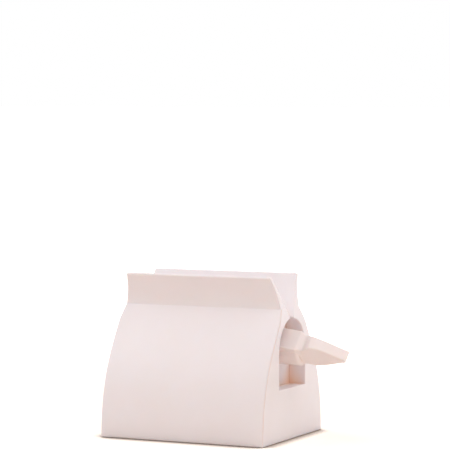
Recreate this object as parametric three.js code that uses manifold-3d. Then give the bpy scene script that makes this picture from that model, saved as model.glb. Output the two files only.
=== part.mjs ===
// Toothpaste squeezer: a one-piece moulded stand and the one-piece roller key that turns in it.
// Millimetres, +Z up. X runs along the roller, from the plain end of the stand to the handle.
// The origin is under the middle of the whole object, on the surface that the stand rests on.
import * as THREE from "three";
import { mergeVertices } from "three/addons/utils/BufferGeometryUtils.js";
import Module from "manifold-3d";

// Stand, outside
const STAND_LENGTH = 70; // along X, at the foot
const BASE_DEPTH = 57.6; // along Y, at the foot
const STAND_HEIGHT = 64.4;
const FOOT_HANDLE = 24; // how long the panels stay upright above the foot
const CREASE_Z = 51.6; // crease between each panel and its lip
const CREASE_HANDLE = 21; // pull of the panel's slope below the crease
const CREASE_SLOPE = 55.5; // degrees from level
const LIP_TOP_HALF_DEPTH = 14; // from the middle plane to the lip's outer edge
const LIP_THICKNESS = 2.1; // at the top
const LIP_ROOT = 5; // level thickness of each lip at its crease
const LIP_HOLLOW_OUT = 0.04; // pull of the lip's hollow face, as a share of its reach outwards
const LIP_HOLLOW_UP = 0.42; // height of that pull, as a share of the lip's height
const LIP_ROUND = 1; // rounding of the lip's top edges
const LIP_TOP_LENGTH = 62.8; // along X
const LEAN_START_Z = 46.5; // above this the end faces lean inwards

// Stand, inside
const PANEL_WALL = 2.2; // front and back panels
const END_WALL = 2;
const NECK_GAP = 3.4; // the slot that the tube's tail passes
const NECK_Z = 48;
const NECK_BEVEL_DEPTH = 1.9; // eased lower edge of the neck
const NECK_BEVEL_DROP = 0.9;
const ROOF_SHOULDER_HALF = 7.8; // bend in the sloping roof under the lips
const ROOF_SHOULDER_Z = 44.3;
const ROOF_Z = 43.2; // the roof inside, beside the panels
const WINDOW_WIDTH = 25.2; // also across the arch that ends it above
const SILL_Z = 20.3;
const POCKET_DEPTH = 7; // from the end face to the pocket's inner wall
const POCKET_WALL = 2;

// Roller key
const AXIS_Z = 34.9;
const ROD_DIAMETER = 9;
const ROD_CLEARANCE = 0.35; // round the rod, in its two bearings
const ROD_END_RECESS = 1; // how far the rod's tip stays inside the plain end
const ROD_SLOT_WIDTH = 1.8; // the split that grips the tube's tail
const ROD_SLOT_LENGTH = 56;
const COLLAR_GAP = 0.3; // between the collar and the pocket's inner wall
const COLLAR_LENGTH = 11.3;
const COLLAR_DIAMETER = 11.4; // beside the pocket's inner wall
const COLLAR_NOSE_DIAMETER = 11; // at its outer end
const COLLAR_NOSE_LENGTH = 1; // sloped edge at its outer end
const COLLAR_TIP_DIAMETER = 9.4; // left flat by that edge
const HANDLE_REACH = 23.4; // from the end face to the handle's tip
const HANDLE_TURN = 39; // degrees that the handle is turned at rest, front edge up
const HANDLE_DROOP = 7; // degrees that the handle hangs below the rod's line
const DROOP_CROSSING = 12.8; // from the tip to where the handle's middle crosses the rod's line
const BLOCK_LENGTH = 8; // thick root of the handle
const BLOCK_HALF_WIDTH = 5.9;
const BLOCK_HALF_THICKNESS = 4.6;
const BLOCK_PAST_WALL = 3.4; // how far the root stands out of the end face
const WAIST_LENGTH = 2.8; // from the root to the narrowest place
const WAIST_HALF_WIDTH = 4.9;
const WAIST_HALF_THICKNESS = 3.7;
const LEAF_HALF_WIDTH = 6.3;
const LEAF_WIDEST_PAST_WALL = 9.4;
const LEAF_TAPER_PAST_WALL = 15.2; // where the sides become straight
const LEAF_TAPER_HALF_WIDTH = 4.9;
const LEAF_HALF_THICKNESS = 2.4;
const TIP_LENGTH = 1.6; // rounded end of the handle
const TIP_HALF_WIDTH = 1.4;

// Colour and finish
const PLASTIC_COLOUR = 0xebdfde;
const PLASTIC_ROUGHNESS = 0.42;

// Shape making
const CURVE_STEPS = 20; // straight steps in each curve of an outline
const ROUND_STEPS = 64; // around a rod or a hole
const OVERCUT = 1; // how far a cutter runs past the face that it opens
const WELD = 1e-4;

// Places worked out from the sizes above
const END_X = STAND_LENGTH / 2;
const POCKET_X = END_X - POCKET_DEPTH;
const INNER_WALL_X = POCKET_X - POCKET_WALL;
const TIP_X = END_X + HANDLE_REACH;
const BLOCK_END_X = END_X + BLOCK_PAST_WALL;
const WAIST_X = BLOCK_END_X + WAIST_LENGTH;
const BEARING_RADIUS = ROD_DIAMETER / 2 + ROD_CLEARANCE;
const NECK_HALF = NECK_GAP / 2;
const LIP_INSIDE = LIP_TOP_HALF_DEPTH - LIP_THICKNESS;
const MOUTH_LEAN = (LIP_INSIDE - NECK_HALF) / (STAND_HEIGHT - NECK_Z);
const CREASE_HALF_DEPTH = NECK_HALF + MOUTH_LEAN * (CREASE_Z - NECK_Z) + LIP_ROOT;

const wasm = await Module();
wasm.setup();

// A closed geometry as a solid that can be joined and cut
function solidOf(geometry) {
  const bare = geometry.clone();
  bare.deleteAttribute("normal");
  bare.deleteAttribute("uv");
  const merged = mergeVertices(bare, WELD);
  return new wasm.Manifold(
    new wasm.Mesh({
      numProp: 3,
      vertProperties: merged.attributes.position.array,
      triVerts: new Uint32Array(merged.index.array),
    }),
  );
}

// A solid as a geometry again
function geometryOf(solid) {
  const mesh = solid.getMesh();
  const geometry = new THREE.BufferGeometry();
  geometry.setAttribute("position", new THREE.BufferAttribute(mesh.vertProperties, 3));
  geometry.setIndex(new THREE.BufferAttribute(mesh.triVerts, 1));
  geometry.computeVertexNormals();
  return geometry;
}

// An outline drawn in Y and Z, run along X from one place to another
function alongX(outline, fromX, toX) {
  const settings = { depth: toX - fromX, bevelEnabled: false, curveSegments: CURVE_STEPS };
  const geometry = new THREE.ExtrudeGeometry(outline, settings);
  const turn = new THREE.Matrix4().makeBasis(
    new THREE.Vector3(0, 1, 0),
    new THREE.Vector3(0, 0, 1),
    new THREE.Vector3(1, 0, 0),
  );
  return solidOf(geometry.applyMatrix4(turn).translate(fromX, 0, 0));
}

// An outline drawn in X and Z, run along Y to both sides of the middle plane
function acrossY(outline, halfDepth) {
  const settings = { depth: 2 * halfDepth, bevelEnabled: false, curveSegments: CURVE_STEPS };
  const geometry = new THREE.ExtrudeGeometry(outline, settings);
  const turn = new THREE.Matrix4().makeBasis(
    new THREE.Vector3(1, 0, 0),
    new THREE.Vector3(0, 0, 1),
    new THREE.Vector3(0, -1, 0),
  );
  return solidOf(geometry.applyMatrix4(turn).translate(0, halfDepth, 0));
}

// An outline drawn in X and Y, run along Z to both sides of the middle plane
function throughZ(outline, halfHeight) {
  const settings = { depth: 2 * halfHeight, bevelEnabled: false, curveSegments: CURVE_STEPS };
  const geometry = new THREE.ExtrudeGeometry(outline, settings);
  return solidOf(geometry.translate(0, 0, -halfHeight));
}

// A round bar along X at the rod's height, which may taper
function roundAlongX(fromX, toX, fromRadius, toRadius) {
  const length = toX - fromX;
  const geometry = new THREE.CylinderGeometry(toRadius, fromRadius, length, ROUND_STEPS);
  geometry.rotateZ(-Math.PI / 2);
  return solidOf(geometry.translate((fromX + toX) / 2, 0, AXIS_Z));
}

// A straight-sided outline from a list of [across, up] points
function polygon(points) {
  return new THREE.Shape(points.map(([across, up]) => new THREE.Vector2(across, up)));
}

// A rectangle between two corners
function rectangle(left, bottom, right, top) {
  return polygon([[left, bottom], [right, bottom], [right, top], [left, top]]);
}

// Half an outline and its mirror image across the middle plane, as one outline
function mirrored(half) {
  const other = half.map((p) => new THREE.Vector2(-p.x, p.y)).reverse();
  return new THREE.Shape([...half, ...other]);
}

// The outer face of a panel, from the foot up to the crease
function panelCurve() {
  const slope = THREE.MathUtils.degToRad(CREASE_SLOPE);
  return new THREE.CubicBezierCurve(
    new THREE.Vector2(BASE_DEPTH / 2, 0),
    new THREE.Vector2(BASE_DEPTH / 2, FOOT_HANDLE),
    new THREE.Vector2(
      CREASE_HALF_DEPTH + CREASE_HANDLE * Math.cos(slope),
      CREASE_Z - CREASE_HANDLE * Math.sin(slope),
    ),
    new THREE.Vector2(CREASE_HALF_DEPTH, CREASE_Z),
  );
}

// The stand's whole outer section, with the open mouth between its lips down to the neck
function outerSection() {
  const top = STAND_HEIGHT;
  const lipMiddle = LIP_TOP_HALF_DEPTH - LIP_THICKNESS / 2;
  const outerCorner = new THREE.Vector2(LIP_TOP_HALF_DEPTH, top);
  const lipFace = new THREE.QuadraticBezierCurve(
    new THREE.Vector2(CREASE_HALF_DEPTH, CREASE_Z),
    new THREE.Vector2(
      CREASE_HALF_DEPTH + LIP_HOLLOW_OUT * (LIP_TOP_HALF_DEPTH - CREASE_HALF_DEPTH),
      CREASE_Z + LIP_HOLLOW_UP * (top - CREASE_Z),
    ),
    new THREE.Vector2(LIP_TOP_HALF_DEPTH - LIP_ROUND * MOUTH_LEAN, top - LIP_ROUND),
  );
  const outerRound = new THREE.QuadraticBezierCurve(
    lipFace.v2,
    outerCorner,
    new THREE.Vector2(lipMiddle, top),
  );
  const innerRound = new THREE.QuadraticBezierCurve(
    outerRound.v2,
    new THREE.Vector2(LIP_INSIDE, top),
    new THREE.Vector2(LIP_INSIDE - LIP_ROUND * MOUTH_LEAN, top - LIP_ROUND),
  );
  const half = [
    ...panelCurve().getPoints(2 * CURVE_STEPS),
    ...lipFace.getPoints(CURVE_STEPS).slice(1),
    ...outerRound.getPoints(CURVE_STEPS / 2).slice(1),
    ...innerRound.getPoints(CURVE_STEPS / 2).slice(1),
    new THREE.Vector2(NECK_HALF, NECK_Z),
  ];
  return mirrored(half);
}

// The space inside the panels, before the roof closes it
function hollowSection() {
  const curve = panelCurve();
  const steps = 2 * CURVE_STEPS;
  const half = [];
  for (let i = 0; i <= steps; i += 1) {
    const point = curve.getPoint(i / steps);
    const tangent = curve.getTangent(i / steps);
    half.push(new THREE.Vector2(point.x - PANEL_WALL * tangent.y, point.y + PANEL_WALL * tangent.x));
  }
  half[0].y = -OVERCUT;
  half[steps].x = Math.max(half[steps].x, NECK_HALF);
  return mirrored(half);
}

// The space under the sloping roof, from the given half width and floor up to the neck
function roofSection(halfWidth, floorZ) {
  return mirrored([
    new THREE.Vector2(halfWidth, floorZ),
    new THREE.Vector2(halfWidth, ROOF_Z),
    new THREE.Vector2(ROOF_SHOULDER_HALF, ROOF_SHOULDER_Z),
    new THREE.Vector2(NECK_HALF + NECK_BEVEL_DEPTH, NECK_Z - NECK_BEVEL_DROP),
    new THREE.Vector2(NECK_HALF, NECK_Z),
  ]);
}

// The window's outline: straight sides up to the roller's height, then an arch round it
function windowSection() {
  const half = WINDOW_WIDTH / 2;
  const shape = new THREE.Shape();
  shape.moveTo(-half, SILL_Z);
  shape.lineTo(half, SILL_Z);
  shape.lineTo(half, AXIS_Z);
  shape.absarc(0, AXIS_Z, half, 0, Math.PI, false);
  return shape;
}

// The block that the end faces' lean leaves of a long prism
function leaningEnds() {
  const topX = LIP_TOP_LENGTH / 2;
  const rise = STAND_HEIGHT - LEAN_START_Z;
  const slope = (END_X - topX) / rise;
  const pastTopX = topX - slope * OVERCUT;
  const pastTopZ = STAND_HEIGHT + OVERCUT;
  const outline = polygon([
    [-END_X, -OVERCUT],
    [END_X, -OVERCUT],
    [END_X, LEAN_START_Z],
    [pastTopX, pastTopZ],
    [-pastTopX, pastTopZ],
    [-END_X, LEAN_START_Z],
  ]);
  return acrossY(outline, BASE_DEPTH);
}

// The stand: panels, end walls, lips, neck, window and pocket in one moulding
function makeStand() {
  const outer = alongX(outerSection(), -END_X, END_X).intersect(leaningEnds());
  const hollowX = END_X - END_WALL;
  const hollow = alongX(hollowSection(), -hollowX, hollowX)
    .intersect(alongX(roofSection(BASE_DEPTH, -OVERCUT), -hollowX, hollowX));
  const pocketHalf = WINDOW_WIDTH / 2 + POCKET_WALL;
  const pocketFloor = SILL_Z - POCKET_WALL;
  const pocketBox = alongX(rectangle(-pocketHalf, pocketFloor, pocketHalf, NECK_Z), INNER_WALL_X, END_X);
  const window = alongX(windowSection(), POCKET_X, END_X + OVERCUT);
  const neckFloor = NECK_Z - NECK_BEVEL_DROP;
  const neck = alongX(
    rectangle(-NECK_HALF, neckFloor, NECK_HALF, NECK_Z + OVERCUT),
    -END_X - OVERCUT,
    END_X + OVERCUT,
  );
  const tailSlot = alongX(
    rectangle(-NECK_HALF, AXIS_Z, NECK_HALF, NECK_Z + OVERCUT),
    INNER_WALL_X - OVERCUT,
    POCKET_X + OVERCUT,
  );
  const nearBearing = roundAlongX(
    INNER_WALL_X - OVERCUT, POCKET_X + OVERCUT, BEARING_RADIUS, BEARING_RADIUS,
  );
  const farBearing = roundAlongX(
    -END_X - OVERCUT, -hollowX + OVERCUT, BEARING_RADIUS, BEARING_RADIUS,
  );
  return outer
    .subtract(hollow)
    .add(pocketBox.intersect(outer))
    .subtract(window)
    .subtract(neck)
    .subtract(tailSlot)
    .subtract(nearBearing)
    .subtract(farBearing);
}

// The handle seen square on: thick root, waist, leaf and rounded tip
function handlePlan() {
  const widestX = END_X + LEAF_WIDEST_PAST_WALL;
  const taperX = END_X + LEAF_TAPER_PAST_WALL;
  const startX = BLOCK_END_X - BLOCK_LENGTH;
  const rootPull = WAIST_LENGTH / 2;
  const leafPull = (widestX - WAIST_X) / 2;
  const taperPull = (taperX - widestX) / 2;
  const shape = new THREE.Shape();
  const side = (sign) => ({
    root: [BLOCK_END_X, sign * BLOCK_HALF_WIDTH],
    waist: [WAIST_X, sign * WAIST_HALF_WIDTH],
    widest: [widestX, sign * LEAF_HALF_WIDTH],
    taper: [taperX, sign * LEAF_TAPER_HALF_WIDTH],
    tip: [TIP_X - TIP_LENGTH, sign * TIP_HALF_WIDTH],
  });
  const low = side(-1);
  const high = side(1);
  shape.moveTo(startX, low.root[1]);
  shape.lineTo(...low.root);
  shape.bezierCurveTo(
    low.root[0] + rootPull, low.root[1], low.waist[0] - rootPull, low.waist[1], ...low.waist,
  );
  shape.bezierCurveTo(
    low.waist[0] + leafPull, low.waist[1], low.widest[0] - leafPull, low.widest[1], ...low.widest,
  );
  shape.quadraticCurveTo(low.widest[0] + taperPull, low.widest[1], ...low.taper);
  shape.lineTo(...low.tip);
  shape.quadraticCurveTo(TIP_X, low.tip[1], TIP_X, 0);
  shape.quadraticCurveTo(TIP_X, high.tip[1], ...high.tip);
  shape.lineTo(...high.taper);
  shape.quadraticCurveTo(high.widest[0] + taperPull, high.widest[1], ...high.widest);
  shape.bezierCurveTo(
    high.widest[0] - leafPull, high.widest[1], high.waist[0] + leafPull, high.waist[1], ...high.waist,
  );
  shape.bezierCurveTo(
    high.waist[0] - rootPull, high.waist[1], high.root[0] + rootPull, high.root[1], ...high.root,
  );
  shape.lineTo(startX, high.root[1]);
  return shape;
}

// The handle seen edge on: thick root, then a step down to the thin leaf
function handleEdge() {
  const startX = BLOCK_END_X - BLOCK_LENGTH;
  const leafX = END_X + LEAF_TAPER_PAST_WALL;
  const rootPull = WAIST_LENGTH / 2;
  const leafPull = (leafX - WAIST_X) / 2;
  const root = BLOCK_HALF_THICKNESS;
  const waist = WAIST_HALF_THICKNESS;
  const leaf = LEAF_HALF_THICKNESS;
  const shape = new THREE.Shape();
  shape.moveTo(startX, -root);
  shape.lineTo(BLOCK_END_X, -root);
  shape.bezierCurveTo(BLOCK_END_X + rootPull, -root, WAIST_X - rootPull, -waist, WAIST_X, -waist);
  shape.quadraticCurveTo(WAIST_X + leafPull, -leaf, leafX, -leaf);
  shape.lineTo(TIP_X + OVERCUT, -leaf);
  shape.lineTo(TIP_X + OVERCUT, leaf);
  shape.lineTo(leafX, leaf);
  shape.quadraticCurveTo(WAIST_X + leafPull, leaf, WAIST_X, waist);
  shape.bezierCurveTo(WAIST_X - rootPull, waist, BLOCK_END_X + rootPull, root, BLOCK_END_X, root);
  shape.lineTo(startX, root);
  return shape;
}

// The handle in place: turned about the rod, and drooping from where it crosses the rod's line
function makeHandle() {
  const reach = BLOCK_HALF_WIDTH + LEAF_HALF_WIDTH;
  const flat = throughZ(handlePlan(), reach).intersect(acrossY(handleEdge(), reach));
  const crossingX = TIP_X - DROOP_CROSSING;
  const geometry = geometryOf(flat);
  geometry.translate(-crossingX, 0, 0);
  geometry.rotateX(-THREE.MathUtils.degToRad(HANDLE_TURN));
  geometry.rotateY(THREE.MathUtils.degToRad(HANDLE_DROOP));
  geometry.translate(crossingX, 0, AXIS_Z);
  return solidOf(geometry);
}

// The key: split rod, collar and handle in one moulding
function makeRollerKey() {
  const rodRadius = ROD_DIAMETER / 2;
  const rodStart = -END_X + ROD_END_RECESS;
  const collarStart = POCKET_X + COLLAR_GAP;
  const collarEnd = collarStart + COLLAR_LENGTH;
  const rod = roundAlongX(rodStart, collarStart + OVERCUT, rodRadius, rodRadius);
  const noseStart = collarEnd - COLLAR_NOSE_LENGTH;
  const noseRadius = COLLAR_NOSE_DIAMETER / 2;
  const collar = roundAlongX(collarStart, noseStart, COLLAR_DIAMETER / 2, noseRadius);
  const nose = roundAlongX(noseStart, collarEnd, noseRadius, COLLAR_TIP_DIAMETER / 2);
  const slotHalf = ROD_SLOT_WIDTH / 2;
  const slotShape = rectangle(-ROD_DIAMETER, -slotHalf, ROD_DIAMETER, slotHalf);
  const slotGeometry = geometryOf(alongX(slotShape, rodStart - OVERCUT, rodStart + ROD_SLOT_LENGTH));
  slotGeometry.rotateX(-THREE.MathUtils.degToRad(HANDLE_TURN));
  slotGeometry.translate(0, 0, AXIS_Z);
  return rod.subtract(solidOf(slotGeometry)).add(collar).add(nose).add(makeHandle());
}

// One named piece with its own material
function piece(name, solid) {
  const material = new THREE.MeshStandardMaterial({
    color: PLASTIC_COLOUR,
    roughness: PLASTIC_ROUGHNESS,
    metalness: 0,
  });
  const mesh = new THREE.Mesh(geometryOf(solid), material);
  mesh.name = name;
  return mesh;
}

const group = new THREE.Group();
group.name = "toothpaste_squeezer";
group.add(piece("stand", makeStand()), piece("roller_key", makeRollerKey()));
group.position.x = -HANDLE_REACH / 2;

export default group;
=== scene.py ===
"""Toothpaste squeezer: the looks of its moulded stand and of the roller key that turns in it."""
import math

import bmesh
import bpy
from mathutils import Matrix, Vector


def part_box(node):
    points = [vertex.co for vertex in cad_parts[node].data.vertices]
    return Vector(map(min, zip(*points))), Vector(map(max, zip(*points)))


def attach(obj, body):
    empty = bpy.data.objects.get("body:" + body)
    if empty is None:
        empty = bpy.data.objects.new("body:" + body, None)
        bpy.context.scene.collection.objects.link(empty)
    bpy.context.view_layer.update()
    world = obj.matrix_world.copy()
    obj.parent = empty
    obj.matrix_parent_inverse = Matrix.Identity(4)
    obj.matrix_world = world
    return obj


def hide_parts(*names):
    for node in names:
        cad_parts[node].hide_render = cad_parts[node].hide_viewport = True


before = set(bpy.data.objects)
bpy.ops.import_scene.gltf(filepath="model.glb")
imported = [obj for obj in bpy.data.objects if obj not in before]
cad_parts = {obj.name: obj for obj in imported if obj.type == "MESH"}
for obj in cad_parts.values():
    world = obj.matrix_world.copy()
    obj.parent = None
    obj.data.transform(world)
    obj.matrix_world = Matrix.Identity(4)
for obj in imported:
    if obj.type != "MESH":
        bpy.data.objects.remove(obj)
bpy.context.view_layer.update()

MM = 0.001

# Camera: the photograph's viewpoint, a long lens a little above the object
CAMERA_AZIMUTH = 25.34  # degrees to the right of straight ahead
CAMERA_ELEVATION = 3.13
CAMERA_DISTANCE = 0.9541
CAMERA_AIM = Vector((-0.00607, 0.0, 0.08353))
CAMERA_LENS = 192.24  # mm, for a sensor 36 mm wide

# Light: what the white surroundings give, and softboxes as (name, degrees to the right of
# straight ahead, degrees up, watts, colour)
WORLD_LEVEL = 0.28
FLOOR_GLOW = (0.3, 1.0)  # added for the camera to the floor's own lit white, near and far
GLOW_REACH = (0.12, 0.5)  # metres from the object where it starts and ends to rise
PAINTED_SHADOW_REACH = 0.009  # metres over which a painted shadow darkens the floor towards the object
FLOOR_HALF = 20.0
PAPER = "F4E9DF"
# Painted shadow on the floor by the foot: an occlusion mask mixes this dark brown into the paper and dims
# its glow.
PAINTED_SHADOW_PAPER = "7E6657"
PAINTED_SHADOW_SHARE = (0.45, 0.85)  # how open the floor is where the painted shadow is darkest, and where it ends
LAMP_AIM = Vector((-0.01, 0.0, 0.03))
LAMP_DISTANCE = 1.2
LAMP_SIZE = 0.7
LAMPS = [
    ("left_softbox", -60, 35, 5.8, "FFFFFF"),
    ("top_softbox", 20, 65, 3.0, "FFFFFF"),
    ("right_softbox", 100, 45, 4.1, "FFFFFF"),
    ("front_softbox", 30, 5, 2.7, "FFEDDC"),
    ("right_rear_softbox", 150, 30, 4.6, "FFFFFF"),
    ("left_rear_softbox", -115, 28, 4.4, "FFFFFF"),
]

# Shapes are drawn in millimetres, from the middle of the stand's foot, with X along the roller.
# Stand, outside
END_X = 35.0
FOOT_HALF = 28.8
FOOT_ROUND = 0.6
FOOT_HANDLE = 24.0
STAND_TOP = 64.4
NECK_HALF = 1.7
NECK_Z = 48.0  # where the mouth ends and the neck begins
NECK_FLOOR = 47.1  # where the neck ends below
LIP_TOP_HALF = 14.0
LIP_INSIDE = 11.9
LIP_OUTER_ROUND = 0.6
LIP_INNER_ROUND = 0.9
MOUTH_LEAN = (LIP_INSIDE - NECK_HALF) / (STAND_TOP - NECK_Z)
CREASE_Z = 51.6
LIP_ROOT = 5.0  # the lip's thickness at the crease
LIP_HOLLOW_OUT = 0.04  # pull of the lip's hollow outer face, as shares of its reach and height
LIP_HOLLOW_UP = 0.42
CREASE_HALF = NECK_HALF + MOUTH_LEAN * (CREASE_Z - NECK_Z) + LIP_ROOT
CREASE_HANDLE = 21.0
CREASE_SLOPE = math.radians(55.5)
LEAN_START = 46.5
LEAN_END_X = 31.4  # the ends' place at the top
LEAN_SOFTENING = 1.5  # how far either side of its start the lean is eased in

# Stand, inside
PANEL_WALL = 2.2
HOLLOW_X = 33.0
INNER_WALL_X = 26.0
POCKET_X = 28.0
POCKET_HALF = 14.6
POCKET_FLOOR = 18.3
WINDOW_HALF = 12.6
SILL_Z = 20.3
ROOF_Z = 43.2
SHOULDER_HALF = 7.8
SHOULDER_Z = 44.3
NECK_EASE = 1.9  # how far the roof is eased where it turns up into the neck
NECK_ROUND = 0.9
INNER_EDGE = 0.3  # broken edge inside the foot
WINDOW_STEPS = 28
GROOVE_IN = 0.62  # from the panel's outer face to the middle of the fine line beside it
GROOVE_HALF = 0.2
GROOVE_DEPTH = 0.6

# Roller key
AXIS_Z = 34.9
BEARING_RADIUS = 4.85
ROD_RADIUS = 4.5
ROD_START = -34.0
ROD_SLOT_HALF = 0.9
ROD_SLOT_END = 22.0
COLLAR_START = 28.3
COLLAR_END = 39.6
COLLAR_RADIUS = 5.7
COLLAR_NOSE_RADIUS = 5.5
COLLAR_NOSE = 1.3  # rounding of the collar's outer end
COLLAR_ROUND = 0.35  # and of its inner end
ROD_ROUND = 0.6
ROUND_STEPS = 5
NOSE_STEPS = 8
HANDLE_TURN = math.radians(39)
HANDLE_DROOP = math.radians(7)
TIP_X = 58.4
CROSSING_X = 45.6
BLOCK_START = 30.4
BLOCK_END = 38.4
WAIST_X = 41.2
WIDEST_X = 44.4
TAPER_X = 50.2
TIP_ROUND_X = 56.8
BLOCK_HALF = (5.9, 4.6)  # half width, half thickness
WAIST_HALF = (4.9, 3.7)
LEAF_HALF = (6.3, 2.4)
TAPER_HALF = 4.9
TIP_HALF = 1.4
HANDLE_CORNER = 0.6
BLOCK_ROUND = 0.5  # rounding of the block's inner end
LEAST_HALF = (0.12, 0.1)  # the handle's section where its tip closes
# One side of the split, as (out from its wall, off the rod's middle), flared at the rod's surface
SLOT_SIDE = [(0.0, 0.0), (0.0, 4.0), (0.12, 4.3), (0.5, 4.7), (0.5, 7.0)]

# Plastic: colours as sRGB hex, sizes in millimetres
STAND_PLASTIC = {
    # The third colour is painted shade: darker and warmer, mixed into recesses and corners by an occlusion
    # mask.
    "pale": "EAE3E7", "creamy": "E8DFE0", "painted_shade": "EFC8AE",
    "cloud_mm": 14.0,  # streaks of flow as wide as a finger
    "painted_shade_reach_mm": 8.0,  # how near a wall has to be for the painted shade to darken a place
    "grain_mm": 0.35, "grain_depth_mm": 0.02, "grain_strength": 0.25,
    "smooth": 0.38, "rough": 0.48,
}
# The key's colours are painted light: set paler than the stand's to lift the key where it sits in the
# window's shade. Its painted shade is paler and reaches less far.
KEY_PLASTIC = dict(
    STAND_PLASTIC, pale="F4E9E9", creamy="F2E5E2", painted_shade="F2D2BE", cloud_mm=8.0, painted_shade_reach_mm=4.0,
)

# Corners
RIM = 0.4  # radius of the stand's broken corners
FINE_RIM = 0.25  # radius round the bearings
RIM_STEPS = 4
CURVE_STEPS = 24
SHARP = math.radians(33)  # a fold of more than this stays a crisp corner
WELD = 0.0005


def linear(code):
    """An sRGB hex colour as linear red, green, blue and alpha."""
    out = []
    for k in (0, 2, 4):
        c = int(code[k:k + 2], 16) / 255
        out.append(c / 12.92 if c <= 0.04045 else ((c + 0.055) / 1.055) ** 2.4)
    return (*out, 1.0)


def node(tree, kind, settings=None, links=None):
    """Adds one node, with its settings, its sockets' values and what is linked to them."""
    made = tree.nodes.new(kind)
    for name, value in (settings or {}).items():
        if isinstance(name, str) and hasattr(made, name):
            setattr(made, name, value)
        else:
            made.inputs[name].default_value = value
    for name, source in (links or {}).items():
        tree.links.new(source, made.inputs[name])
    return made


def bezier(points, steps):
    """Points along a Bezier curve with these control points."""
    out = []
    for i in range(steps + 1):
        t = i / steps
        level = [Vector(p) for p in points]
        while len(level) > 1:
            level = [a.lerp(b, t) for a, b in zip(level, level[1:])]
        out.append(level[0])
    return out


def fillet(before, corner, after, radius, steps=6):
    """Points round a corner between two straight sides, in an arc of a radius."""
    a, b = (before - corner).normalized(), (after - corner).normalized()
    half = a.angle(b) / 2
    centre = corner + (a + b).normalized() * radius / math.sin(half)
    start = corner + a * radius / math.tan(half) - centre
    sweep = math.pi - 2 * half
    turn = 1 if a.x * b.y - a.y * b.x < 0 else -1
    out = []
    for i in range(steps + 1):
        angle = turn * sweep * i / steps
        c, s = math.cos(angle), math.sin(angle)
        out.append(centre + Vector((start.x * c - start.y * s, start.x * s + start.y * c)))
    return out


def mirrored(half):
    """Half an outline, drawn at Y above nought, and its mirror image as one closed outline."""
    return half + [Vector((-p.x, p.y)) for p in reversed(half)]


def panel_curve(steps):
    """The panel's outer face from the foot up to the crease."""
    pull = Vector((
        CREASE_HALF + CREASE_HANDLE * math.cos(CREASE_SLOPE),
        CREASE_Z - CREASE_HANDLE * math.sin(CREASE_SLOPE),
    ))
    return bezier([(FOOT_HALF, 0), (FOOT_HALF, FOOT_HANDLE), pull, (CREASE_HALF, CREASE_Z)], steps)


def stand_outline():
    """The stand's outer section with its open mouth, as half points from the foot to the neck."""
    pull = Vector((
        CREASE_HALF + LIP_HOLLOW_OUT * (LIP_TOP_HALF - CREASE_HALF),
        CREASE_Z + LIP_HOLLOW_UP * (STAND_TOP - CREASE_Z),
    ))
    tip = Vector((LIP_TOP_HALF, STAND_TOP))
    inside = Vector((LIP_INSIDE, STAND_TOP))
    neck = Vector((NECK_HALF, NECK_Z))
    foot = Vector((FOOT_HALF, 0))
    half = fillet(foot - Vector((5, 0)), foot, foot + Vector((0, 5)), FOOT_ROUND)
    half += [p for p in panel_curve(2 * CURVE_STEPS) if p.y > FOOT_ROUND + 0.3]
    face = bezier([(CREASE_HALF, CREASE_Z), pull, tip], CURVE_STEPS)
    corner = fillet(face[-6], tip, inside, LIP_OUTER_ROUND)
    half += [p for p in face[1:] if (p - tip).length > (corner[0] - tip).length + 0.15]
    half += corner + fillet(tip, inside, neck, LIP_INNER_ROUND)
    half += [neck, Vector((NECK_HALF, NECK_FLOOR))]
    return mirrored(half)


def roof_line():
    """The roof under the lips, from its shoulder to inside the neck."""
    ease = Vector((NECK_HALF + NECK_EASE, NECK_FLOOR))
    corner = Vector((NECK_HALF, NECK_Z + 0.03))
    return [Vector((SHOULDER_HALF, SHOULDER_Z)), ease, ease.lerp(corner, 1.6)]


def roof_height(y):
    """The roof's height outside its shoulder, where it is all but level."""
    reach = 2 * FOOT_HALF - SHOULDER_HALF
    return SHOULDER_Z - (SHOULDER_Z - ROOF_Z) * (y - SHOULDER_HALF) / reach


def inner_curve():
    """The panel's inner face from below the foot to the roof."""
    outer = panel_curve(2 * CURVE_STEPS)
    line = []
    for i, p in enumerate(outer):
        a, b = outer[max(i - 1, 0)], outer[min(i + 1, len(outer) - 1)]
        along = (b - a).normalized()
        line.append(Vector((p.x - PANEL_WALL * along.y, p.y + PANEL_WALL * along.x)))
    wall = line[0].x
    flare = [
        Vector((wall + INNER_EDGE + 1, -1)),
        Vector((wall + INNER_EDGE, 0)),
        Vector((wall, INNER_EDGE)),
    ]
    line = flare + [p for p in line if p.y > 2 * INNER_EDGE]
    kept = []
    for a, b in zip(line, line[1:]):
        kept.append(a)
        if b.y > roof_height(b.x):
            share = (roof_height(a.x) - a.y) / (b.y - a.y)
            kept.append(a.lerp(b, share))
            break
    return kept


def crossing(line, y):
    """Where a falling line of points reaches a depth."""
    for i, (a, b) in enumerate(zip(line, line[1:])):
        if b.x <= y:
            return i, a.lerp(b, (a.x - y) / (a.x - b.x))
    return len(line) - 1, line[-1]


def grown(outline, distance):
    """A closed outline with its corners moved outwards by a distance."""
    area = sum(a.x * b.y - b.x * a.y for a, b in zip(outline, outline[1:] + outline[:1]))
    turn = 1 if area > 0 else -1
    out = []
    for i, p in enumerate(outline):
        before = (p - outline[i - 1]).normalized()
        after = (outline[(i + 1) % len(outline)] - p).normalized()
        n1 = Vector((before.y, -before.x)) * turn
        n2 = Vector((after.y, -after.x)) * turn
        middle = (n1 + n2).normalized()
        out.append(p + middle * distance / max(0.35, middle.dot(n1)))
    return out


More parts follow.
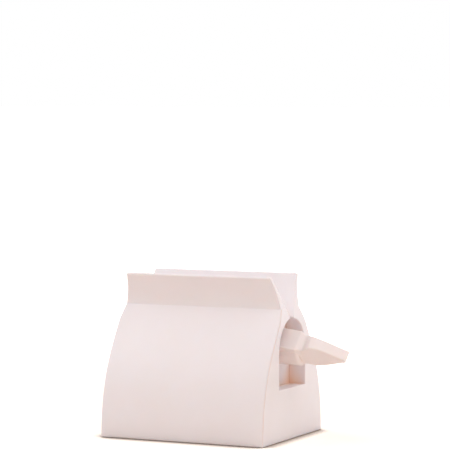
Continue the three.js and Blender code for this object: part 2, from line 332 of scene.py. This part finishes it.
def rings_solid(rings):
    """A closed bmesh through rings of equally many points, with flat caps."""
    bm = bmesh.new()
    loops = [[bm.verts.new(p) for p in ring] for ring in rings]
    for low, high in zip(loops, loops[1:]):
        for i in range(len(low)):
            j = (i + 1) % len(low)
            bm.faces.new((low[i], low[j], high[j], high[i]))
    bm.faces.new(loops[0])
    bm.faces.new(loops[-1])
    bmesh.ops.recalc_face_normals(bm, faces=bm.faces)
    return bm


def rim_stations(radius):
    """How far in from an end, and how much smaller, each ring of a rounded rim is."""
    out = []
    for i in range(RIM_STEPS + 1):
        a = math.pi / 2 * i / RIM_STEPS
        out.append((radius * (1 - math.sin(a)), radius * (1 - math.cos(a))))
    return out


def ring_at(outline, x, distance=0.0):
    """An outline set at a place along X, grown by a distance."""
    return [Vector((x, p.x, p.y)) for p in (grown(outline, distance) if distance else outline)]


def rounded_prism(outline, low, high, radius):
    """An outline run along X, with rounded rims at both ends."""
    stations = rim_stations(radius)
    rings = [ring_at(outline, low + s, -d) for s, d in reversed(stations)]
    rings += [ring_at(outline, high - s, -d) for s, d in stations]
    return rings_solid(rings)


def cutter(outline, low, high, rim_low=None, rim_high=None, radius=RIM):
    """An outline run along X to cut with, which flares where it leaves a face at a rim's place."""
    rings = [ring_at(outline, low, radius if rim_low is not None else 0)]
    if rim_low is not None:
        for i in range(RIM_STEPS + 1):
            a = math.pi / 2 * i / RIM_STEPS
            rings.append(ring_at(outline, rim_low + radius * (1 - math.cos(a)), radius * (1 - math.sin(a))))
    if rim_high is not None:
        for i in range(RIM_STEPS, -1, -1):
            a = math.pi / 2 * i / RIM_STEPS
            rings.append(ring_at(outline, rim_high - radius * (1 - math.cos(a)), radius * (1 - math.sin(a))))
    rings.append(ring_at(outline, high, radius if rim_high is not None else 0))
    return rings_solid(rings)


def hollow_solid():
    """The space inside the stand: the whole section, then the space round the pocket."""
    side = inner_curve()
    cut, corner = crossing(side, POCKET_HALF)
    shared = side[:cut + 1] + [corner]
    upper = [p for p in side[cut + 1:] if (p - corner).length > 0.01] + roof_line()
    wide = mirrored(shared + upper)
    bm = bmesh.new()
    start = [bm.verts.new((-HOLLOW_X, p.x, p.y)) for p in wide]
    step = [bm.verts.new((INNER_WALL_X, p.x, p.y)) for p in wide]
    n, k = len(wide), len(shared)
    for i in range(n):
        j = (i + 1) % n
        bm.faces.new((start[i], start[j], step[j], step[i]))
    bm.faces.new(start)
    floor = [bm.verts.new((INNER_WALL_X, s * POCKET_HALF, POCKET_FLOOR)) for s in (1, -1)]
    bm.faces.new(step[k - 1:n - k + 1] + [floor[1], floor[0]])
    narrow = step[:k] + floor + step[n - k:]
    far = [bm.verts.new((HOLLOW_X, v.co.y, v.co.z)) for v in narrow]
    for i in range(len(narrow)):
        j = (i + 1) % len(narrow)
        bm.faces.new((narrow[i], narrow[j], far[j], far[i]))
    bm.faces.new(far)
    bmesh.ops.recalc_face_normals(bm, faces=bm.faces)
    return bm


def circle(radius, steps, keyhole=False):
    """A round hole at the roller's height, or a keyhole with a slot up to the neck."""
    if not keyhole:
        return [Vector((radius * math.cos(2 * math.pi * i / steps),
                        AXIS_Z + radius * math.sin(2 * math.pi * i / steps))) for i in range(steps)]
    gap = math.acos(NECK_HALF / radius)
    sweep = 2 * math.pi - (math.pi - 2 * gap)
    arc = [gap - sweep * i / steps for i in range(steps + 1)]
    out = [Vector((radius * math.cos(a), AXIS_Z + radius * math.sin(a))) for a in arc]
    return out + [Vector((-NECK_HALF, NECK_FLOOR + 0.5)), Vector((NECK_HALF, NECK_FLOOR + 0.5))]


def held(bm, name):
    """A bmesh as an object that a Boolean can use."""
    mesh = bpy.data.meshes.new(name)
    bm.to_mesh(mesh)
    bm.free()
    holder = bpy.data.objects.new(name, mesh)
    bpy.context.scene.collection.objects.link(holder)
    return holder


def combined(base, steps):
    """The base with each (operation, bmesh) done in turn, as a new mesh."""
    body = held(base, "blank")
    tools = []
    for operation, bm in steps:
        tool = held(bm, "tool")
        tools.append(tool)
        cut = body.modifiers.new(operation, "BOOLEAN")
        cut.operation = operation
        cut.solver = "EXACT"
        cut.object = tool
    bpy.context.view_layer.update()
    graph = bpy.context.evaluated_depsgraph_get()
    mesh = bpy.data.meshes.new_from_object(body.evaluated_get(graph))
    for extra in [body, *tools]:
        bpy.data.objects.remove(extra)
    return mesh


def end_place(z):
    """Where the ends are at a height: upright, then leaning in."""
    slope = (END_X - LEAN_END_X) / (STAND_TOP - LEAN_START)
    t = (z - LEAN_START) / LEAN_SOFTENING
    if t <= -1:
        return END_X
    if t >= 1:
        return END_X - slope * (z - LEAN_START)
    return END_X - slope * LEAN_SOFTENING * (t + 1) ** 2 / 4


def window_outline():
    """The window: straight sides, an arch round the roller, and eased corners into the neck."""
    side = NECK_HALF + 0.02
    top = AXIS_Z + math.sqrt(WINDOW_HALF ** 2 - side ** 2)
    corner = fillet(
        Vector((side + 3, top - 0.6)), Vector((side, top)), Vector((side, top + 3)), NECK_ROUND)
    half = [Vector((WINDOW_HALF, SILL_Z))]
    for i in range(WINDOW_STEPS + 1):
        a = math.pi / 2 * i / WINDOW_STEPS
        p = Vector((WINDOW_HALF * math.cos(a), AXIS_Z + WINDOW_HALF * math.sin(a)))
        if p.x > corner[0].x + 0.2:
            half.append(p)
    return mirrored(half + corner + [Vector((side, NECK_Z + 0.1)), Vector((0.5, NECK_Z + 0.6))])


def groove_solid():
    """A fine line cut in the end face beside the front panel, where the mould's halves meet."""
    path = panel_curve(2 * CURVE_STEPS)
    lines = []
    for i, p in enumerate(path):
        a, b = path[max(i - 1, 0)], path[min(i + 1, len(path) - 1)]
        along = (b - a).normalized()
        inward = Vector((-along.y, along.x))
        middle = p + inward * GROOVE_IN
        if i == 0:
            middle.y -= 1
        edge = inward * GROOVE_HALF
        lines.append([
            Vector((END_X + 0.5, -(middle - edge * 2).x, (middle - edge * 2).y)),
            Vector((END_X - GROOVE_DEPTH, -middle.x, middle.y)),
            Vector((END_X + 0.5, -(middle + edge * 2).x, (middle + edge * 2).y)),
        ])
    return rings_solid(lines)


def stand_mesh():
    """The stand: the section run along X, hollowed, cut for window and bearings, its ends leant in."""
    window = window_outline()
    keyhole = circle(BEARING_RADIUS, 60, keyhole=True)
    mesh = combined(rounded_prism(stand_outline(), -END_X, END_X, RIM), [
        ("DIFFERENCE", hollow_solid()),
        ("DIFFERENCE", cutter(window, POCKET_X, END_X + 2, rim_high=END_X)),
        ("DIFFERENCE", cutter(
            keyhole, INNER_WALL_X - 1, POCKET_X + 1, INNER_WALL_X, POCKET_X, FINE_RIM)),
        ("DIFFERENCE", cutter(
            circle(BEARING_RADIUS, 64), -END_X - 1, -HOLLOW_X + 1, -END_X, -HOLLOW_X, FINE_RIM)),
        ("DIFFERENCE", groove_solid()),
    ])
    bm = bmesh.new()
    bm.from_mesh(mesh)
    bmesh.ops.remove_doubles(bm, verts=bm.verts, dist=WELD)
    for i in range(-2, 3):
        z = LEAN_START + LEAN_SOFTENING * i / 2
        bmesh.ops.bisect_plane(
            bm, geom=bm.verts[:] + bm.edges[:] + bm.faces[:], plane_co=(0, 0, z), plane_no=(0, 0, 1))
    for v in bm.verts:
        v.co.x *= end_place(v.co.z) / END_X
    bm.to_mesh(mesh)
    bm.free()
    return mesh


def lathe(profile, steps=64):
    """A closed solid turned about the roller's line from (x, radius) points."""
    bm = bmesh.new()
    rings = []
    turns = [2 * math.pi * i / steps for i in range(steps)]
    for x, r in profile:
        rings.append([bm.verts.new((x, r * math.cos(a), AXIS_Z + r * math.sin(a))) for a in turns])
    for low, high in zip(rings, rings[1:]):
        for i in range(steps):
            j = (i + 1) % steps
            bm.faces.new((low[i], low[j], high[j], high[i]))
    bm.faces.new(rings[0])
    bm.faces.new(rings[-1])
    bmesh.ops.recalc_face_normals(bm, faces=bm.faces)
    return bm


def rod_and_collar():
    """The rod with its rounded end, then the collar with its rounded nose."""
    profile = []
    for start, radius, rounding in (
        (ROD_START, ROD_RADIUS, ROD_ROUND), (COLLAR_START, COLLAR_RADIUS, COLLAR_ROUND),
    ):
        for i in range(ROUND_STEPS + 1):
            a = math.pi / 2 * (1 - i / ROUND_STEPS)
            profile.append((start + rounding * (1 - math.sin(a)), radius - rounding * (1 - math.cos(a))))
        if start == ROD_START:
            profile.append((COLLAR_START, ROD_RADIUS))
    for i in range(NOSE_STEPS + 1):
        a = math.pi / 2 * i / NOSE_STEPS
        profile.append((
            COLLAR_END - COLLAR_NOSE * (1 - math.sin(a)),
            COLLAR_NOSE_RADIUS - COLLAR_NOSE * (1 - math.cos(a)),
        ))
    return lathe(profile)


def eased(points, x):
    """A height read off a smooth run of (x, height) points."""
    for (x0, y0), (x1, y1) in zip(points, points[1:]):
        if x <= x1:
            t = (x - x0) / (x1 - x0)
            return y0 + (y1 - y0) * t * t * (3 - 2 * t)
    return points[-1][1]


def half_width(x):
    """The handle's half width: block, waist, leaf, straight taper and round tip."""
    if x <= WIDEST_X:
        line = [(BLOCK_START, BLOCK_HALF[0]), (BLOCK_END, BLOCK_HALF[0]),
                (WAIST_X, WAIST_HALF[0]), (WIDEST_X, LEAF_HALF[0])]
        return eased(line, x)
    if x <= TAPER_X:
        t = (x - WIDEST_X) / (TAPER_X - WIDEST_X)
        return LEAF_HALF[0] + (TAPER_HALF - LEAF_HALF[0]) * t * t
    if x <= TIP_ROUND_X:
        return TAPER_HALF + (TIP_HALF - TAPER_HALF) * (x - TAPER_X) / (TIP_ROUND_X - TAPER_X)
    t = (x - TIP_ROUND_X) / (TIP_X - TIP_ROUND_X)
    return TIP_HALF * math.sqrt(max(0.0, 1 - t * t))


def half_thickness(x):
    """The handle's half thickness: thick block, then a step down to the leaf."""
    if x <= WAIST_X:
        line = [(BLOCK_START, BLOCK_HALF[1]), (BLOCK_END, BLOCK_HALF[1]), (WAIST_X, WAIST_HALF[1])]
        return eased(line, x)
    t = min((x - WAIST_X) / (TAPER_X - WAIST_X), 1.0)
    return WAIST_HALF[1] + (LEAF_HALF[1] - WAIST_HALF[1]) * (2 * t - t * t)


def handle_ring(x, shrink):
    """A rounded rectangle round the handle's middle line."""
    w = max(half_width(x) - shrink, LEAST_HALF[0])
    t = max(half_thickness(x) - shrink, LEAST_HALF[1])
    r = min(HANDLE_CORNER, 0.96 * min(w, t))
    out = []
    for quarter, (sy, sz) in enumerate(((1, 1), (-1, 1), (-1, -1), (1, -1))):
        for i in range(5):
            a = math.pi / 2 * (quarter + i / 4)
            out.append(Vector((x, sy * (w - r) + r * math.cos(a), sz * (t - r) + r * math.sin(a))))
    return out


def handle_solid():
    """The handle, drawn along X, then turned about its middle line and drooped."""
    rings = []
    for i in range(RIM_STEPS + 1):
        a = math.pi / 2 * (1 - i / RIM_STEPS)
        rings.append(handle_ring(
            BLOCK_START + BLOCK_ROUND * (1 - math.sin(a)), BLOCK_ROUND * (1 - math.cos(a))))
    stations = [BLOCK_END]
    for low, high, steps in ((BLOCK_END, WAIST_X, 8), (WAIST_X, WIDEST_X, 10), (WIDEST_X, TAPER_X, 8)):
        stations += [low + (high - low) * i / steps for i in range(1, steps + 1)]
    stations += [TIP_ROUND_X - 2, TIP_ROUND_X - 1, TIP_ROUND_X]
    stations += [TIP_ROUND_X + (TIP_X - TIP_ROUND_X) * math.sin(math.pi / 2 * i / 8) for i in range(1, 8)]
    bm = rings_solid(rings + [handle_ring(x, 0.0) for x in stations])
    to_crossing = Matrix.Translation((-CROSSING_X, 0, 0))
    turn = Matrix.Rotation(-HANDLE_TURN, 4, "X")
    droop = Matrix.Rotation(HANDLE_DROOP, 4, "Y")
    back = Matrix.Translation((CROSSING_X, 0, AXIS_Z))
    bm.transform(back @ droop @ turn @ to_crossing)
    return bm


def slot_cutter():
    """The split through the rod, flared where it meets the rod's surface."""
    half = [Vector((ROD_SLOT_HALF + out, height)) for out, height in SLOT_SIDE]
    outline = mirrored(half) + [-p for p in half[1:]]
    outline += [Vector((p.x, -p.y)) for p in reversed(half[1:])]
    rings = [[Vector((x, p.y, p.x)) for p in outline] for x in (ROD_START - 2, ROD_SLOT_END)]
    bm = rings_solid(rings)
    bm.transform(Matrix.Translation((0, 0, AXIS_Z)) @ Matrix.Rotation(-HANDLE_TURN, 4, "X"))
    return bm


def key_mesh():
    """The roller key in one piece."""
    return combined(rod_and_collar(), [("UNION", handle_solid()), ("DIFFERENCE", slot_cutter())])


def moulding(cad_node, name, body, mesh, material):
    """A piece in place of a CAD node, in metres in the shared frame, smooth but for its corners."""
    low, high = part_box("stand")
    bm = bmesh.new()
    bm.from_mesh(mesh)
    bmesh.ops.remove_doubles(bm, verts=bm.verts, dist=WELD)
    bmesh.ops.dissolve_degenerate(bm, edges=bm.edges, dist=WELD)
    bmesh.ops.recalc_face_normals(bm, faces=bm.faces)
    for face in bm.faces:
        face.smooth = True
        face.material_index = 0
    for edge in bm.edges:
        edge.smooth = edge.is_manifold and edge.calc_face_angle(0) < SHARP
    bm.transform(Matrix.Translation(((low.x + high.x) / 2, 0, 0)) @ Matrix.Scale(MM, 4))
    bm.to_mesh(mesh)
    bm.free()
    mesh.name = name
    mesh.materials.clear()
    mesh.materials.append(material)
    piece = bpy.data.objects.new(name, mesh)
    bpy.context.scene.collection.objects.link(piece)
    weighted = piece.modifiers.new("flat_faces", "WEIGHTED_NORMAL")
    weighted.keep_sharp = True
    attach(piece, body)
    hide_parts(cad_node)
    return piece


def polypropylene(name, settings):
    """Satin moulded polypropylene, milky so that a little light passes through its walls, with painted
    shade: an occlusion mask mixes a darker, warmer colour into places near other walls. It has the
    faint cloud of flowing plastic and a fine even grain from the mould."""
    material = bpy.data.materials.new(name)
    material.use_nodes = True
    tree = material.node_tree
    tree.nodes.clear()
    place = node(tree, "ShaderNodeTexCoord").outputs["Object"]
    cloud = node(
        tree, "ShaderNodeTexNoise",
        {"Scale": 1 / (settings["cloud_mm"] * MM), "Detail": 3.0, "Roughness": 0.6, "Distortion": 0.4},
        {"Vector": place})
    tint = node(
        tree, "ShaderNodeMix",
        {"data_type": "RGBA", 6: linear(settings["pale"]), 7: linear(settings["creamy"])},
        {0: cloud.outputs["Fac"]})
    # Painted shade: occlusion within the reach mixes the cloudy colour towards the darker, warmer shade
    # colour.
    painted_shade_ao = node(
        tree, "ShaderNodeAmbientOcclusion",
        {"samples": 8, "only_local": True, "Distance": settings["painted_shade_reach_mm"] * MM})
    painted_shade = node(
        tree, "ShaderNodeMapRange",
        {"From Min": 0.2, "From Max": 0.75, "To Min": 1.0, "To Max": 0.0},
        {"Value": painted_shade_ao.outputs["AO"]})
    warm = node(
        tree, "ShaderNodeMix", {"data_type": "RGBA", 7: linear(settings["painted_shade"])},
        {0: painted_shade.outputs["Result"], 6: tint.outputs[2]})
    grain = node(
        tree, "ShaderNodeTexNoise",
        {"Scale": 1 / (settings["grain_mm"] * MM), "Detail": 2.0, "Roughness": 0.55}, {"Vector": place})
    gloss = node(
        tree, "ShaderNodeMapRange",
        {"To Min": settings["smooth"], "To Max": settings["rough"]}, {"Value": cloud.outputs["Fac"]})
    bump = node(
        tree, "ShaderNodeBump",
        {"Strength": settings["grain_strength"], "Distance": settings["grain_depth_mm"] * MM},
        {"Height": grain.outputs["Fac"]})
    shader = node(
        tree, "ShaderNodeBsdfPrincipled",
        {"IOR": 1.49, "Subsurface Weight": 0.2, "Subsurface Scale": 1.6 * MM,
         "Subsurface Radius": (1.0, 0.55, 0.4)},
        {"Base Color": warm.outputs[2], "Roughness": gloss.outputs["Result"],
         "Normal": bump.outputs["Normal"]})
    node(tree, "ShaderNodeOutputMaterial", None, {"Surface": shader.outputs["BSDF"]})
    return material


def softbox(name, azimuth, elevation, power, colour):
    """A square softbox that faces the object from a direction."""
    a, e = math.radians(azimuth), math.radians(elevation)
    back = Vector((math.sin(a) * math.cos(e), -math.cos(a) * math.cos(e), math.sin(e)))
    lamp = bpy.data.lights.new(name, "AREA")
    lamp.shape = "SQUARE"
    lamp.size = LAMP_SIZE
    lamp.energy = power
    lamp.color = linear(colour)[:3]
    holder = bpy.data.objects.new(name, lamp)
    holder.location = LAMP_AIM + back * LAMP_DISTANCE
    holder.rotation_mode = "QUATERNION"
    holder.rotation_quaternion = (-back).to_track_quat("-Z", "Y")
    bpy.context.scene.collection.objects.link(holder)


def seen_directly(tree):
    """One where a ray comes from the camera, a mirror-like surface or clear material, else nought."""
    rays = node(tree, "ShaderNodeLightPath")
    glossy = node(
        tree, "ShaderNodeMath", {"operation": "MAXIMUM"},
        {0: rays.outputs["Is Camera Ray"], 1: rays.outputs["Is Glossy Ray"]},
    )
    return node(
        tree, "ShaderNodeMath", {"operation": "MAXIMUM"},
        {0: glossy.outputs[0], 1: rays.outputs["Is Transmission Ray"]},
    ).outputs[0]


def studio():
    """White surroundings, a pale floor and the softboxes."""
    scene = bpy.context.scene
    world = bpy.data.worlds.new("white_studio")
    scene.world = world
    world.use_nodes = True
    tree = world.node_tree
    tree.nodes.clear()
    strength = node(
        tree, "ShaderNodeMapRange", {"To Min": WORLD_LEVEL, "To Max": 1.0}, {"Value": seen_directly(tree)})
    light = node(
        tree, "ShaderNodeBackground", {"Color": (1, 1, 1, 1)}, {"Strength": strength.outputs["Result"]})
    node(tree, "ShaderNodeOutputWorld", None, {"Surface": light.outputs["Background"]})

    bm = bmesh.new()
    bmesh.ops.create_grid(bm, x_segments=1, y_segments=1, size=FLOOR_HALF)
    mesh = bpy.data.meshes.new("studio_floor")
    bm.to_mesh(mesh)
    bm.free()
    floor = bpy.data.objects.new("studio_floor", mesh)
    scene.collection.objects.link(floor)
    # White paper: matt and faintly warm, pure white to the eye except near the object, where it takes the
    # object's real shadow and, right by the foot, a painted shadow
    paper = bpy.data.materials.new("white_paper")
    paper.use_nodes = True
    tree = paper.node_tree
    tree.nodes.clear()
    # Painted shadow: where an occlusion mask finds the object within a few millimetres, the paper's colour
    # goes to dark brown and its glow is dimmed.
    painted_shadow_ao = node(tree, "ShaderNodeAmbientOcclusion", {"samples": 8, "Distance": PAINTED_SHADOW_REACH})
    outside_painted_shadow = node(
        tree, "ShaderNodeMapRange", {"From Min": PAINTED_SHADOW_SHARE[0], "From Max": PAINTED_SHADOW_SHARE[1]},
        {"Value": painted_shadow_ao.outputs["AO"]})
    colour = node(
        tree, "ShaderNodeMix", {"data_type": "RGBA", 6: linear(PAINTED_SHADOW_PAPER), 7: linear(PAPER)},
        {0: outside_painted_shadow.outputs["Result"]})
    matt = node(tree, "ShaderNodeBsdfDiffuse", None, {"Color": colour.outputs[2]})
    place = node(tree, "ShaderNodeTexCoord").outputs["Object"]
    away = node(tree, "ShaderNodeVectorMath", {"operation": "LENGTH"}, {0: place})
    rise = node(
        tree, "ShaderNodeMapRange",
        {"From Min": GLOW_REACH[0], "From Max": GLOW_REACH[1],
         "To Min": FLOOR_GLOW[0], "To Max": FLOOR_GLOW[1]},
        {"Value": away.outputs["Value"]})
    glow_level = node(
        tree, "ShaderNodeMath", {"operation": "MULTIPLY"},
        {0: seen_directly(tree), 1: rise.outputs["Result"]})
    glow_outside_painted_shadow = node(
        tree, "ShaderNodeMath", {"operation": "MULTIPLY"},
        {0: glow_level.outputs[0], 1: outside_painted_shadow.outputs["Result"]})
    glow = node(
        tree, "ShaderNodeEmission", {"Color": (1, 1, 1, 1)}, {"Strength": glow_outside_painted_shadow.outputs[0]})
    both = node(tree, "ShaderNodeAddShader", None, {0: matt.outputs[0], 1: glow.outputs[0]})
    node(tree, "ShaderNodeOutputMaterial", None, {"Surface": both.outputs[0]})
    mesh.materials.append(paper)

    for lamp in LAMPS:
        softbox(*lamp)


def camera():
    """The photograph's viewpoint."""
    a, e = math.radians(CAMERA_AZIMUTH), math.radians(CAMERA_ELEVATION)
    back = Vector((math.sin(a) * math.cos(e), -math.cos(a) * math.cos(e), math.sin(e)))
    data = bpy.data.cameras.new("photo_camera")
    data.lens = CAMERA_LENS
    data.sensor_width = 36.0
    holder = bpy.data.objects.new("photo_camera", data)
    holder.location = CAMERA_AIM + back * CAMERA_DISTANCE
    holder.rotation_mode = "QUATERNION"
    holder.rotation_quaternion = (-back).to_track_quat("-Z", "Y")
    bpy.context.scene.collection.objects.link(holder)
    bpy.context.scene.camera = holder


bpy.context.scene.view_settings.view_transform = "Standard"
camera()
studio()
stand_plastic = polypropylene("polypropylene_stand", STAND_PLASTIC)
key_plastic = polypropylene("polypropylene_key", KEY_PLASTIC)
moulding("stand", "stand_moulding", "stand", stand_mesh(), stand_plastic)
moulding("roller_key", "roller_key_moulding", "key", key_mesh(), key_plastic)
